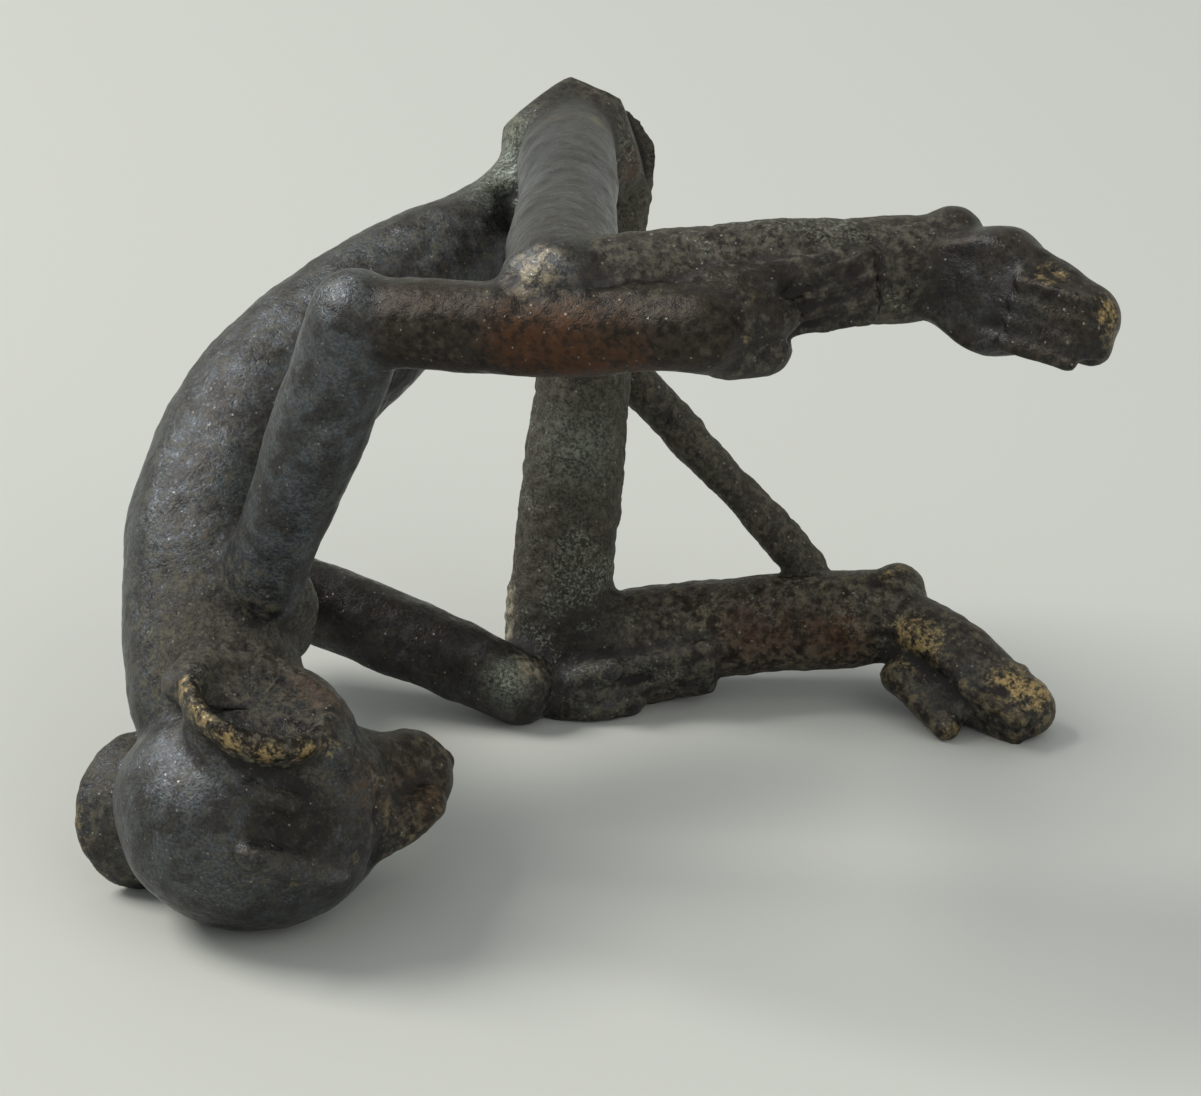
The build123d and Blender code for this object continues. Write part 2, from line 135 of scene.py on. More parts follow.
# Extra wax: member, path in mm, radius at its start and end
THREADS = [
    ("hand_near", [(5.2, -12.9, 25.3), (7.0, -12.6, 24.9), (8.2, -11.6, 24.8)], 0.80, 1.00),
    ("hand_near", [(5.9, -12.8, 26.3), (8.2, -11.9, 26.4)], 1.55, 1.05),
    ("hand_near", [(6.8, -11.9, 27.2), (8.8, -11.0, 27.7), (11.6, -10.0, 28.0)], 0.60, 0.40),
    ("head", [(-14.0, -12.3, 9.3), (-13.1, -13.5, 8.4), (-11.8, -14.1, 7.5), (-10.0, -13.8, 6.7)], 0.34, 0.40),
    ("head", [(-8.4, -12.4, 8.1), (-8.4, -10.7, 8.3), (-9.4, -9.0, 8.8), (-11.5, -8.3, 9.6)], 0.85, 1.15),
    ("back", [(-11.5, -8.1, 9.7), (-13.5, -9.0, 10.2), (-14.4, -10.6, 10.3)], 1.15, 0.80),
    ("ear_near", [(-9.6, -11.4, 8.0), (-10.3, -9.9, 8.5), (-12.0, -9.3, 9.2), (-13.2, -10.2, 9.5)], 0.95, 1.05),
    ("head", [(-8.2, -9.6, 8.0), (-7.2, -10.6, 6.6)], 0.55, 0.40),
    ("muzzle", [(-6.7, -11.0, 6.2), (-6.6, -11.5, 4.8), (-6.9, -11.3, 3.3)], 0.42, 0.38),
    ("muzzle", [(-7.2, -10.8, 3.6), (-5.9, -9.7, 3.8), (-4.9, -8.7, 4.1)], 1.05, 0.80),
    ("head", [(-11.3, -12.9, 6.4), (-9.5, -12.5, 5.4)], 1.30, 1.30),
    ("head", [(-11.5, -14.9, 5.2), (-10.8, -14.8, 4.5), (-9.7, -14.2, 3.8), (-8.5, -13.6, 3.7)], 0.30, 0.30),
    ("head", [(-8.5, -13.6, 3.7), (-7.6, -13.0, 4.2)], 0.30, 0.24),
    ("pelvis", [(0.75, 12.6, 26.95), (1.3, 12.5, 26.85)], 0.32, 0.28),
    ("pelvis", [(2.2, 12.6, 26.4), (3.2, 13.4, 25.2), (3.4, 12.7, 24.6)], 0.45, 0.40),
    ("thigh_near", [(-0.9, -10.2, 27.3), (0.3, -10.9, 27.5)], 1.00, 0.85),
    ("thigh_far", [(-1.7, 10.5, 4.7), (-1.9, 10.2, 3.3), (-1.3, 8.3, 2.2)], 0.35, 0.30),
    ("forearm_far", [(-1.5, 6.9, 2.9), (-0.6, 6.3, 1.9)], 0.28, 0.24),
    ("shin_far", [(7.4, 10.2, 4.7), (7.6, 10.3, 4.7)], 0.28, 0.28),
    ("foot_far", [(19.8, 7.0, 2.3), (20.0, 7.0, 2.4)], 0.36, 0.30),
    ("foot_far", [(14.5, 10.2, 4.9), (15.3, 9.3, 4.4)], 0.75, 0.60),
    ("foot_near", [(15.2, -7.8, 27.5), (16.4, -8.8, 27.5), (18.2, -10.0, 27.6), (19.5, -11.1, 27.1)], 1.00, 0.95),
    ("foot_near", [(19.6, -11.8, 25.9), (20.5, -12.3, 25.2)], 1.30, 0.80),
    ("foot_far", [(14.9, 7.6, 1.9), (17.2, 6.0, 1.0)], 0.85, 0.60),
]
# Marks cut or poked into the skin: path in mm, radius and depth
MARKS = [
    ([(-6.9, -10.7, 6.7), (-6.8, -12.0, 5.2), (-7.0, -11.8, 3.1)], 0.28, 0.30),
    ([(-1.6, 7.3, 23.2), (-1.8, 7.9, 23.8)], 0.65, 0.60),
    ([(3.1, 11.2, 24.5), (3.1, 11.6, 23.0)], 0.35, 0.25),
    ([(13.8, 9.5, 5.4), (14.0, 9.5, 5.4)], 0.32, 0.40),
    ([(-13.0, -13.7, 9.3), (-11.5, -14.3, 8.3), (-9.8, -13.9, 7.6)], 0.28, 0.35),
    ([(8.4, -12.2, 27.1), (10.1, -11.2, 27.2), (11.8, -10.6, 27.5)], 0.22, 0.30),
    ([(8.3, -12.4, 26.3), (10.1, -11.2, 26.4), (12.0, -10.6, 26.8)], 0.22, 0.30),
    ([(8.6, -11.9, 25.4), (10.3, -10.9, 25.6), (12.1, -10.4, 26.0)], 0.22, 0.30),
    ([(9.0, -11.2, 24.8), (10.6, -10.6, 25.1), (11.9, -10.3, 25.4)], 0.20, 0.28),
    ([(1.0, 7.0, 1.5), (2.6, 7.1, 1.7), (4.3, 7.6, 1.8)], 0.20, 0.26),
    ([(1.6, 6.8, 1.0), (2.8, 6.9, 1.1), (4.1, 7.6, 1.0)], 0.20, 0.26),
    ([(18.3, 5.5, 2.2), (19.2, 5.2, 1.3)], 0.20, 0.26),
    ([(19.0, 5.6, 2.2), (19.9, 4.9, 1.6)], 0.20, 0.26),
    ([(14.2, 8.5, 4.4), (14.2, 8.4, 3.2), (14.0, 8.7, 2.2)], 0.22, 0.22),
    ([(8.1, -12.3, 27.9), (11.4, -10.4, 28.2)], 0.25, 0.25),
    ([(16.7, -11.1, 25.1), (18.5, -12.4, 25.3), (20.4, -12.9, 25.3)], 0.20, 0.28),
    ([(17.1, -11.2, 24.8), (18.9, -12.6, 24.9), (20.5, -12.8, 24.8)], 0.20, 0.28),
    ([(16.5, -11.0, 25.6), (18.2, -12.3, 25.8), (19.8, -13.0, 25.9)], 0.20, 0.26),
]
# Flats pressed into the skin: place in mm, direction out, reach
FLATS = [
    ((-0.5, 12.7, 26.25), (-0.62, 0.32, 0.71), 3.2),
    ((2.2, 12.7, 26.5), (0.41, 0.37, 0.83), 2.4),
    ((3.2, 12.6, 25.0), (0.95, 0.10, 0.28), 2.4),
]
# Patches of the patina, of painted sheen and of painted shade: what shows there, place in mm, radius and strength
PATCHES = [
    ("gilt", (-14.2, -12.1, 10.7), 0.8, 1.0), ("gilt", (-13.6, -13.8, 10.4), 0.9, 1.0),
    ("gilt", (-12.3, -14.7, 9.8), 0.8, 1.0), ("gilt", (-10.8, -14.8, 9.3), 0.7, 1.0),
    ("gilt", (-9.4, -14.0, 9.0), 0.7, 1.0), ("gilt", (-8.6, -12.9, 8.8), 0.6, 0.8),
    ("steel", (-11.8, -13.6, 7.9), 1.2, 0.5), ("dark", (-11.3, -11.4, 9.0), 1.6, 0.8),
    ("red", (-9.4, -10.0, 9.2), 1.8, 0.6), ("crust", (-10.8, -10.2, 9.4), 2.6, 0.7),
    ("dark", (-12.6, -14.1, 7.1), 1.1, 0.7), ("dark", (-10.4, -14.2, 6.2), 1.5, 0.9),
    ("dark", (-8.6, -13.4, 5.6), 1.4, 0.8), ("dark", (-9.6, -14.1, 5.0), 1.3, 0.7), ("crust", (-10.0, -13.6, 5.8), 2.2, 0.8),
    ("crust", (-7.6, -11.2, 5.6), 1.8, 0.6), ("red", (-7.6, -11.6, 6.2), 1.6, 0.7),
    ("gilt", (-7.8, -12.2, 7.0), 0.7, 0.5), ("crust", (-13.6, -8.6, 11.6), 2.8, 0.7),
    ("gilt", (-11.2, -15.0, 4.8), 0.6, 0.9), ("gilt", (-9.9, -14.5, 3.9), 0.6, 0.9),
    ("gilt", (-8.6, -13.9, 3.7), 0.6, 0.9), ("gilt", (-7.7, -13.2, 4.1), 0.5, 0.9),
    ("steel", (-15.8, -11.2, 7.5), 2.2, 1.0), ("steel", (-14.3, -8.7, 11.8), 2.6, 0.8),
    ("dark", (-12.6, -13.8, 1.4), 3.0, 0.7), ("gilt", (-6.3, -11.2, 5.0), 0.8, 0.8),
    ("red", (-5.2, -9.2, 5.2), 2.0, 0.5), ("gilt", (-4.6, -8.6, 5.4), 1.2, 0.4), ("dark", (-6.9, -11.6, 4.6), 0.7, 0.7),
    ("gilt", (-19.2, -8.0, 2.8), 1.6, 0.7), ("dark", (0.2, 11.3, 26.9), 1.6, 0.6),
    ("pale", (-1.8, 10.9, 25.6), 1.1, 0.5), ("pale", (-0.1, 7.6, 27.1), 1.1, 0.45),
    ("pale", (2.0, 8.6, 26.6), 1.1, 0.5), ("green", (-1.9, 10.3, 24.6), 1.7, 0.8),
    ("green", (-2.0, 8.4, 24.0), 1.4, 0.7), ("dark", (-1.7, 7.3, 22.9), 0.9, 1.0),
    ("red", (3.1, 11.4, 23.8), 1.2, 0.7), ("steel", (0.0, 1.0, 27.6), 4.5, 0.6),
    ("pale", (-0.4, -11.0, 27.6), 1.6, 0.5), ("red", (-1.0, -12.4, 25.3), 1.6, 0.8),
    ("red", (0.9, -12.8, 25.3), 1.8, 0.8), ("red", (3.2, -13.2, 25.3), 1.6, 0.7),
    ("pale", (0.2, -11.3, 27.5), 1.0, 0.3), ("gilt", (7.1, -13.4, 26.1), 0.5, 1.0),
    ("gilt", (7.6, -12.6, 27.0), 0.5, 0.9), ("dark", (9.0, -11.9, 27.7), 0.9, 0.7),
    ("gilt", (18.8, -11.6, 27.6), 0.9, 0.9), ("gilt", (20.9, -12.4, 26.7), 1.0, 0.9),
    ("gilt", (21.2, -12.3, 25.7), 0.8, 0.8), ("steel", (16.4, -10.4, 26.8), 1.8, 0.6),
    ("dark", (15.4, -9.6, 27.0), 1.8, 0.7), ("dark", (17.6, -11.4, 25.4), 1.6, 0.6), ("pale", (-1.9, 10.4, 4.2), 1.0, 0.9),
    ("pale", (-1.9, 9.6, 2.9), 1.0, 0.8), ("pale", (-1.1, 6.8, 2.4), 0.9, 0.9),
    ("dark", (0.9, 8.6, 3.6), 1.9, 0.9), ("gilt", (4.6, 8.8, 3.7), 1.4, 0.35),
    ("gilt", (7.1, 8.6, 4.0), 1.7, 0.45), ("red", (8.6, 8.7, 3.6), 2.0, 0.6),
    ("gilt", (10.4, 8.5, 4.0), 1.5, 0.40), ("red", (12.3, 8.4, 3.4), 1.8, 0.7),
    ("steel", (2.4, 7.2, 1.8), 1.8, 0.7), ("green", (-2.0, 6.1, 2.3), 0.8, 0.8),
    ("dark", (13.8, 9.5, 5.4), 0.5, 1.0), ("gilt", (14.3, 9.9, 5.6), 0.5, 0.9),
    ("gilt", (15.2, 7.7, 3.5), 1.4, 0.9), ("gilt", (16.5, 7.4, 3.2), 1.2, 0.8),
    ("steel", (17.0, 6.9, 1.7), 1.6, 0.8), ("gilt", (19.5, 5.7, 2.2), 1.5, 0.9),
    ("gilt", (20.6, 5.5, 2.0), 0.9, 0.9), ("dark", (16.2, 6.0, 1.2), 0.9, 0.6),
    ("gilt", (16.9, 5.2, 0.5), 0.7, 0.9), ("dark", (-13.6, 4.0, 5.6), 4.0, 0.7),
    ("dark", (-9.5, 9.4, 5.0), 4.0, 0.8), ("dark", (-4.2, 8.0, 3.8), 3.2, 0.7), ("steel", (-15.6, -3.0, 15.4), 4.0, 0.7),
    ("steel", (-11.2, 2.0, 20.0), 3.5, 0.7), ("steel", (-8.0, 5.2, 22.2), 2.5, 0.7),
    ("green", (1.1, 9.9, 11.5), 1.6, 0.4), ("steel", (-16.4, -5.2, 11.0), 3.0, 0.6),
]
# Members that are smoothed all over, with the share of the smoothing that they get
SOFT = {"foot_near": 0.55, "foot_far": 0.40, "hand_near": 0.08, "hand_far": 0.20, "muzzle": 0.30}
# Places whose edges are smoothed: path in mm, reach and share of the smoothing
SMOOTHED = [
    ([(-12.0, -14.0, 6.8), (-10.4, -13.9, 6.0), (-8.6, -13.3, 5.3)], 1.9, 0.22),
    ([(-9.6, -11.4, 8.8), (-10.3, -9.5, 9.3), (-13.6, -9.6, 10.4)], 1.4, 0.9),
    ([(5.4, -13.0, 26.4), (7.4, -12.6, 26.4)], 1.5, 0.9),
]
# Members whose fine modelling is kept out of the heavy smoothing
CRISP = ("hand_far", "ear_far")


class WeightSkin(bpy.types.PropertyGroup):
    """Sizes of the casting skin."""
    grain: FloatProperty(name="Skin Grain", description="Edge of one cell of the finished skin",
                         default=0.14 * MM, min=0.08 * MM, unit="LENGTH", precision=6)
    lap: FloatProperty(name="Wax Lap", description="How far neighbouring members lap before they are luted",
                       default=0.06 * MM, min=0.0, unit="LENGTH", precision=6)
    swell: FloatProperty(name="Rolling Swell", description="Unevenness of the hand rolled members",
                         default=0.42 * MM, min=0.0, unit="LENGTH", precision=6)
    dents: FloatProperty(name="Dents", description="Depth of finger dents in the wax",
                         default=0.16 * MM, min=0.0, unit="LENGTH", precision=6)
    crust: FloatProperty(name="Crust", description="Height of the crust on the rough members",
                         default=0.15 * MM, min=0.0, unit="LENGTH", precision=6)
    pits: FloatProperty(name="Grain Depth", description="Depth of the fine grain of the crust",
                        default=0.12 * MM, min=0.0, unit="LENGTH", precision=6)
    luting: IntProperty(name="Luting Passes", description="Smoothing passes along the luted joints",
                        default=22, min=0, max=100)


class WeightPatina(bpy.types.PropertyGroup):
    """Colours of the patina, with the painted blue grey sheen and the colour of the painted shade."""
    bronze: FloatVectorProperty(name="Bronze Brown", description="Handled brown patina",
                                subtype="COLOR", default=(0.050, 0.040, 0.030), min=0, max=1)
    shadow: FloatVectorProperty(name="Deep Brown", description="Darkest patina, between the highlights",
                                subtype="COLOR", default=(0.016, 0.013, 0.011), min=0, max=1)
    # Painted sheen: this blue grey stands in for the reflection of the pale daylight on the smooth members
    steel: FloatVectorProperty(name="Blue Grey", description="Blue grey sheen on the smooth members",
                               subtype="COLOR", default=(0.125, 0.138, 0.152), min=0, max=1)
    crust: FloatVectorProperty(name="Olive Crust", description="Matt crust on the legs",
                               subtype="COLOR", default=(0.080, 0.072, 0.050), min=0, max=1)
    gold: FloatVectorProperty(name="Worn Gold", description="Bare metal on high places",
                              subtype="COLOR", default=(0.37, 0.27, 0.125), min=0, max=1)
    green: FloatVectorProperty(name="Pale Green", description="Verdigris in sheltered places",
                               subtype="COLOR", default=(0.33, 0.38, 0.31), min=0, max=1)
    red: FloatVectorProperty(name="Red Brown", description="Red brown oxide",
                             subtype="COLOR", default=(0.085, 0.036, 0.017), min=0, max=1)
    pale: FloatVectorProperty(name="Cream", description="Cream coloured deposit along ridges",
                              subtype="COLOR", default=(0.42, 0.36, 0.25), min=0, max=1)
    # Dirt and shade: black dirt and dark patina, and also the painted shade of the dark patches and the colour of the
    # darker hollows
    dirt_and_shade: FloatVectorProperty(name="Dirt and Shade", description="Black dirt in the hollows",
                              subtype="COLOR", default=(0.010, 0.008, 0.007), min=0, max=1)


class WeightStage(bpy.types.PropertyGroup):
    """Camera, lamps and floor."""
    distance: FloatProperty(name="Camera Distance", description="From the camera to the point looked at",
                            default=241.9 * MM, unit="LENGTH")
    height_angle: FloatProperty(name="Camera Height Angle", description="How far the camera looks down",
                                default=math.radians(24.37), subtype="ANGLE")
    look_x: FloatProperty(name="Look At X", description="Point looked at, along the figure",
                          default=(SKULL_X + LOOK_PAST_X) * MM, unit="LENGTH", precision=6)
    look_y: FloatProperty(name="Look At Y", description="Point looked at, across the figure",
                          default=(SKULL_Y + LOOK_PAST_Y) * MM, unit="LENGTH", precision=6)
    lens: FloatProperty(name="Lens", description="Focal length", default=157.4, subtype="DISTANCE_CAMERA")
    key_power: FloatProperty(name="Key Lamp Power", description="Soft lamp behind and to the left",
                             default=1.65, unit="POWER")
    fill_power: FloatProperty(name="Fill Lamp Power", description="Soft lamp in front and to the right",
                              default=0.45, unit="POWER")
    floor: FloatVectorProperty(name="Floor Colour", description="Pale paper under the figure",
                               subtype="COLOR", default=(0.57, 0.57, 0.505), min=0, max=1)


def deselect():
    """Leave edit mode and select nothing."""
    if bpy.context.object and bpy.context.object.mode != "OBJECT":
        bpy.ops.object.mode_set(mode="OBJECT")
    bpy.ops.object.select_all(action="DESELECT")


def pick(*pieces):
    """Select these pieces alone, the first as the active one."""
    deselect()
    for piece in pieces:
        piece.select_set(True)
    bpy.context.view_layer.objects.active = pieces[0]


def wax():
    """Collection that holds the loose wax pieces."""
    found = bpy.data.collections.get("wax")
    if found is None:
        found = bpy.data.collections.new("wax")
        bpy.context.scene.collection.children.link(found)
    return found


def keep_as_wax(piece, member):
    """File a piece in the wax collection, under the member that it belongs to."""
    for home in list(piece.users_collection):
        home.objects.unlink(piece)
    wax().objects.link(piece)
    piece["member"] = member


def wax_copies(member):
    """Copy the nodes of one member as closed wax pieces."""
    for node in MEMBERS[member]:
        source = frame["nodes"][node]
        copy = source.copy()
        copy.data = source.data.copy()
        copy.parent = None
        for key in list(copy.keys()):
            del copy[key]
        bpy.context.scene.collection.objects.link(copy)
        pick(copy)
        bpy.ops.object.mode_set(mode="EDIT")
        bpy.ops.mesh.select_all(action="SELECT")
        bpy.ops.mesh.remove_doubles(threshold=MM / 1000)
        bpy.ops.object.mode_set(mode="OBJECT")
        keep_as_wax(copy, member)


def placed(point):
    """Turn a place measured from the skull, in mm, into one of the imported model, in mm."""
    return Vector((point[0] + SKULL_X - MEASURED_X, point[1] + SKULL_Y - MEASURED_Y, point[2]))


def along_path(points, step):
    """Places at even steps along a path, each with its share of the way."""
    places = [placed(point) for point in points]
    runs = [(b - a).length for a, b in zip(places, places[1:])]
    count = max(1, math.ceil(sum(runs) / step))
    for number in range(count + 1):
        left = sum(runs) * number / count
        leg = 0
        while leg < len(runs) - 1 and left > runs[leg]:
            left -= runs[leg]
            leg += 1
        yield places[leg].lerp(places[leg + 1], min(1.0, left / max(runs[leg], 1e-9))), number / count


def thread(member, points, start_r, end_r):
    """Lay a thread of wax along a path, as a row of lapping pellets joined in one piece."""
    deselect()
    pellets = []
    for place, share in along_path(points, 0.6 * min(start_r, end_r)):
        radius = start_r + (end_r - start_r) * share
        bpy.ops.mesh.primitive_ico_sphere_add(subdivisions=3, radius=radius * MM, location=place * MM)
        pellets.append(context_piece())
    pick(*pellets)
    bpy.ops.object.join()
    bpy.ops.object.transform_apply(location=True, rotation=True, scale=True)
    keep_as_wax(context_piece(), member)


def context_piece():
    """The piece that the last operator made or joined."""
    return bpy.context.view_layer.objects.active


def coordinates(mesh):
    """Vertex places of a mesh as an array."""
    places = np.empty(len(mesh.vertices) * 3, np.float32)
    mesh.vertices.foreach_get("co", places)
    return places.reshape(-1, 3)


def set_coordinates(mesh, places):
    """Move the vertices of a mesh to these places."""
    mesh.vertices.foreach_set("co", np.ascontiguousarray(places, np.float32).ravel())
    mesh.update()


def edge_ends(mesh):
    """The two vertices of each edge."""
    ends = np.empty(len(mesh.edges) * 2, np.int32)
    mesh.edges.foreach_get("vertices", ends)
    return ends.reshape(-1, 2)


def spread(values, ends, passes):
    """Average a value over the neighbouring vertices, several times."""
    count = np.bincount(ends.ravel(), minlength=len(values)).astype(np.float32)
    count[count == 0] = 1
    for _ in range(passes):
        total = np.bincount(ends[:, 0], weights=values[ends[:, 1]], minlength=len(values))
        total += np.bincount(ends[:, 1], weights=values[ends[:, 0]], minlength=len(values))
        values = 0.5 * values + 0.5 * total / count
    return values


def add_modifier(piece, kind, **settings):
    """Add a modifier with these settings and apply it."""
    pick(piece)
    modifier = piece.modifiers.new(kind.lower(), kind)
    for name, value in settings.items():
        setattr(modifier, name, value)
    bpy.ops.object.modifier_apply(modifier=modifier.name)


def clouds(name, scale, depth=2):
    """Cloud texture for displacement; scale in the working size, where 1 unit is 1 mm."""
    texture = bpy.data.textures.new(name, "CLOUDS")
    texture.noise_scale = scale
    texture.noise_depth = depth
    return texture


def ridges(name, scale):
    """Ridged texture for the cracked crust."""
    texture = bpy.data.textures.new(name, "MUSGRAVE")
    texture.musgrave_type = "RIDGED_MULTIFRACTAL"
    texture.noise_scale = scale
    texture.octaves = 4
    texture.lacunarity = 2.2
    texture.noise_intensity = 0.5
    return texture


def vertex_group(piece, name, weights):
    """Vertex group from an array of weights, in 50 steps."""
    group = piece.vertex_groups.new(name=name)
    levels = np.round(np.clip(weights, 0, 1) * 50).astype(int)
    for level in np.unique(levels):
        if level:
            group.add(np.flatnonzero(levels == level).tolist(), float(level) / 50, "REPLACE")
    return group


def near_path(places, points, radius):
    """How near each place is to a path: 1 on it, falling smoothly to 0 over about twice the radius."""
    nearest = np.full(len(places), np.inf)
    for place, _ in along_path(points, 0.4 * radius):
        nearest = np.minimum(nearest, ((places - np.array(place)) ** 2).sum(1))
    return np.exp(-nearest / (radius ** 2))


class WEIGHT_OT_trunk(bpy.types.Operator):
    """Copy the back, pelvis and shoulder yoke."""
    bl_idname = "weight.trunk"
    bl_label = "Trunk"

    def execute(self, context):
        for member in ("back", "pelvis", "shoulder_yoke"):
            wax_copies(member)
        return {"FINISHED"}


class WEIGHT_OT_head(bpy.types.Operator):
    """Copy the head and muzzle."""
    bl_idname = "weight.head"
    bl_label = "Head"

    def execute(self, context):
        for member in ("head", "muzzle"):
            wax_copies(member)
        return {"FINISHED"}


class WEIGHT_OT_ears(bpy.types.Operator):
    """Copy the two cupped ears."""
    bl_idname = "weight.ears"
    bl_label = "Ears"

    def execute(self, context):
        for side in SIDES:
            wax_copies(f"ear_{side}")
        return {"FINISHED"}


class WEIGHT_OT_arms(bpy.types.Operator):
    """Copy the upper arms and forearms."""
    bl_idname = "weight.arms"
    bl_label = "Arms"

    def execute(self, context):
        for side in SIDES:
            wax_copies(f"upper_arm_{side}")
            wax_copies(f"forearm_{side}")
        return {"FINISHED"}


class WEIGHT_OT_hands(bpy.types.Operator):
    """Copy the palms, fingers and thumbs."""
    bl_idname = "weight.hands"
    bl_label = "Hands"

    def execute(self, context):
        for side in SIDES:
            wax_copies(f"hand_{side}")
        return {"FINISHED"}


class WEIGHT_OT_legs(bpy.types.Operator):
    """Copy the thighs and shins."""
    bl_idname = "weight.legs"
    bl_label = "Legs"

    def execute(self, context):
        for side in SIDES:
            wax_copies(f"thigh_{side}")
            wax_copies(f"shin_{side}")
        return {"FINISHED"}


class WEIGHT_OT_feet(bpy.types.Operator):
    """Copy the feet with their heels and toes."""
    bl_idname = "weight.feet"
    bl_label = "Feet"

    def execute(self, context):
        for side in SIDES:
            wax_copies(f"foot_{side}")
        return {"FINISHED"}


class WEIGHT_OT_tail(bpy.types.Operator):
    """Copy the tail thread."""
    bl_idname = "weight.tail"
    bl_label = "Tail"

    def execute(self, context):
        wax_copies("tail")
        return {"FINISHED"}


class WEIGHT_OT_added_wax(bpy.types.Operator):
    """Lay the extra threads and pellets of wax: lips, ridges, bumps and fillings."""
    bl_idname = "weight.added_wax"
    bl_label = "Added Wax"

    def execute(self, context):
        for member, points, start_r, end_r in THREADS:
            thread(member, points, start_r, end_r)
        return {"FINISHED"}


def member_index():
    """Search tree of the loose wax, and the member that each of its faces belongs to."""
    names = list(MEMBERS)
    places, faces, owners = [], [], []
    for piece in wax().objects:
        start = len(places)
        places += [vertex.co.copy() for vertex in piece.data.vertices]
        faces += [[start + corner for corner in face.vertices] for face in piece.data.polygons]
        owners += [names.index(piece["member"])] * len(piece.data.polygons)
    return BVHTree.FromPolygons(places, faces), np.array(owners)


def member_of_faces(mesh, tree, owners):
    """Member number of each face of the skin, with stray faces voted out."""
    centres = np.empty(len(mesh.polygons) * 3, np.float32)
    mesh.polygons.foreach_get("center", centres)
    nearest = [tree.find_nearest(centre * MM)[2] for centre in map(Vector, centres.reshape(-1, 3))]
    labels = owners[np.array(nearest)]
    return vote(mesh, labels, passes=24)


def face_pairs(mesh):
    """The two faces on either side of each edge."""
    loop_edges = np.empty(len(mesh.loops), np.int32)
    mesh.loops.foreach_get("edge_index", loop_edges)
    totals = np.empty(len(mesh.polygons), np.int32)
    mesh.polygons.foreach_get("loop_total", totals)
    loop_faces = np.repeat(np.arange(len(totals)), totals)
    order = np.argsort(loop_edges, kind="stable")
    sorted_edges = loop_edges[order]
    same = sorted_edges[1:] == sorted_edges[:-1]
    return np.stack([loop_faces[order][:-1][same], loop_faces[order][1:][same]], 1)


def vote(mesh, labels, passes):
    """Give each face the member that most of its neighbours have."""
    pairs = face_pairs(mesh)
    kinds = labels.max() + 1
    for _ in range(passes):
        votes = np.zeros((len(labels), kinds), np.float32)
        votes[np.arange(len(labels)), labels] = 1.5
        for here, there in ((0, 1), (1, 0)):
            key = pairs[:, here].astype(np.int64) * kinds + labels[pairs[:, there]]
            votes += np.bincount(key, minlength=len(labels) * kinds).reshape(len(labels), kinds)
        labels = votes.argmax(1)
    return labels


def vertex_values(mesh, labels, column):
    """Finish value of each vertex, from the members of its faces."""
    table = np.array([FINISHES[name][column] for name in MEMBERS], np.float32)
    corners = np.empty(len(mesh.loops), np.int32)
    mesh.loops.foreach_get("vertex_index", corners)
    totals = np.empty(len(mesh.polygons), np.int32)
    mesh.polygons.foreach_get("loop_total", totals)
    values = np.repeat(table[labels], totals)
    total = np.bincount(corners, weights=values, minlength=len(mesh.vertices))
    return total / np.maximum(1, np.bincount(corners, minlength=len(mesh.vertices)))


def joint_weights(mesh, labels, ends):
    """Weight of each vertex for the luting: high beside a joint, and low on the fine members."""
    names = list(MEMBERS)
    crisp = np.isin(labels, [names.index(name) for name in CRISP])
    pairs = face_pairs(mesh)
    border = (labels[pairs[:, 0]] != labels[pairs[:, 1]]) & ~(crisp[pairs[:, 0]] | crisp[pairs[:, 1]])
    on_face = np.zeros(len(labels), np.float32)
    on_face[pairs[border].ravel()] = 1
    corners = np.empty(len(mesh.loops), np.int32)
    mesh.loops.foreach_get("vertex_index", corners)
    totals = np.empty(len(mesh.polygons), np.int32)
    mesh.polygons.foreach_get("loop_total", totals)
    weights = np.zeros(len(mesh.vertices))
    np.maximum.at(weights, corners, np.repeat(on_face, totals))
    soft = np.array([SOFT.get(name, 0) for name in MEMBERS], np.float32)
    all_over = np.zeros(len(mesh.vertices))
    np.maximum.at(all_over, corners, np.repeat(soft[labels], totals))
    places = coordinates(mesh)
    for points, reach, share in SMOOTHED:
        all_over = np.maximum(all_over, near_path(places, points, reach) * share)
    return np.clip(np.maximum(spread(weights, ends, 30) * 9, spread(all_over, ends, 10)), 0, 1)


def store(mesh, name, values):
    """Keep a value for each vertex as an attribute that the patina reads."""
    attribute = mesh.attributes.get(name) or mesh.attributes.new(name, "FLOAT", "POINT")
    attribute.data.foreach_set("value", np.ascontiguousarray(values, np.float32))


def vertex_normals(mesh):
    """Normals of the vertices of a mesh as an array."""
    normals = np.empty(len(mesh.vertices) * 3, np.float32)
    mesh.vertices.foreach_get("normal", normals)
    return normals.reshape(-1, 3)


def hollow_and_high(mesh, ends, passes):
    """How far each vertex stands over (+) or under (-) the smoothed skin round it, in mm."""
    places = coordinates(mesh).astype(np.float64)
    smooth = np.stack([spread(places[:, axis], ends, passes) for axis in range(3)], 1)
    return ((places - smooth) * vertex_normals(mesh)).sum(1)


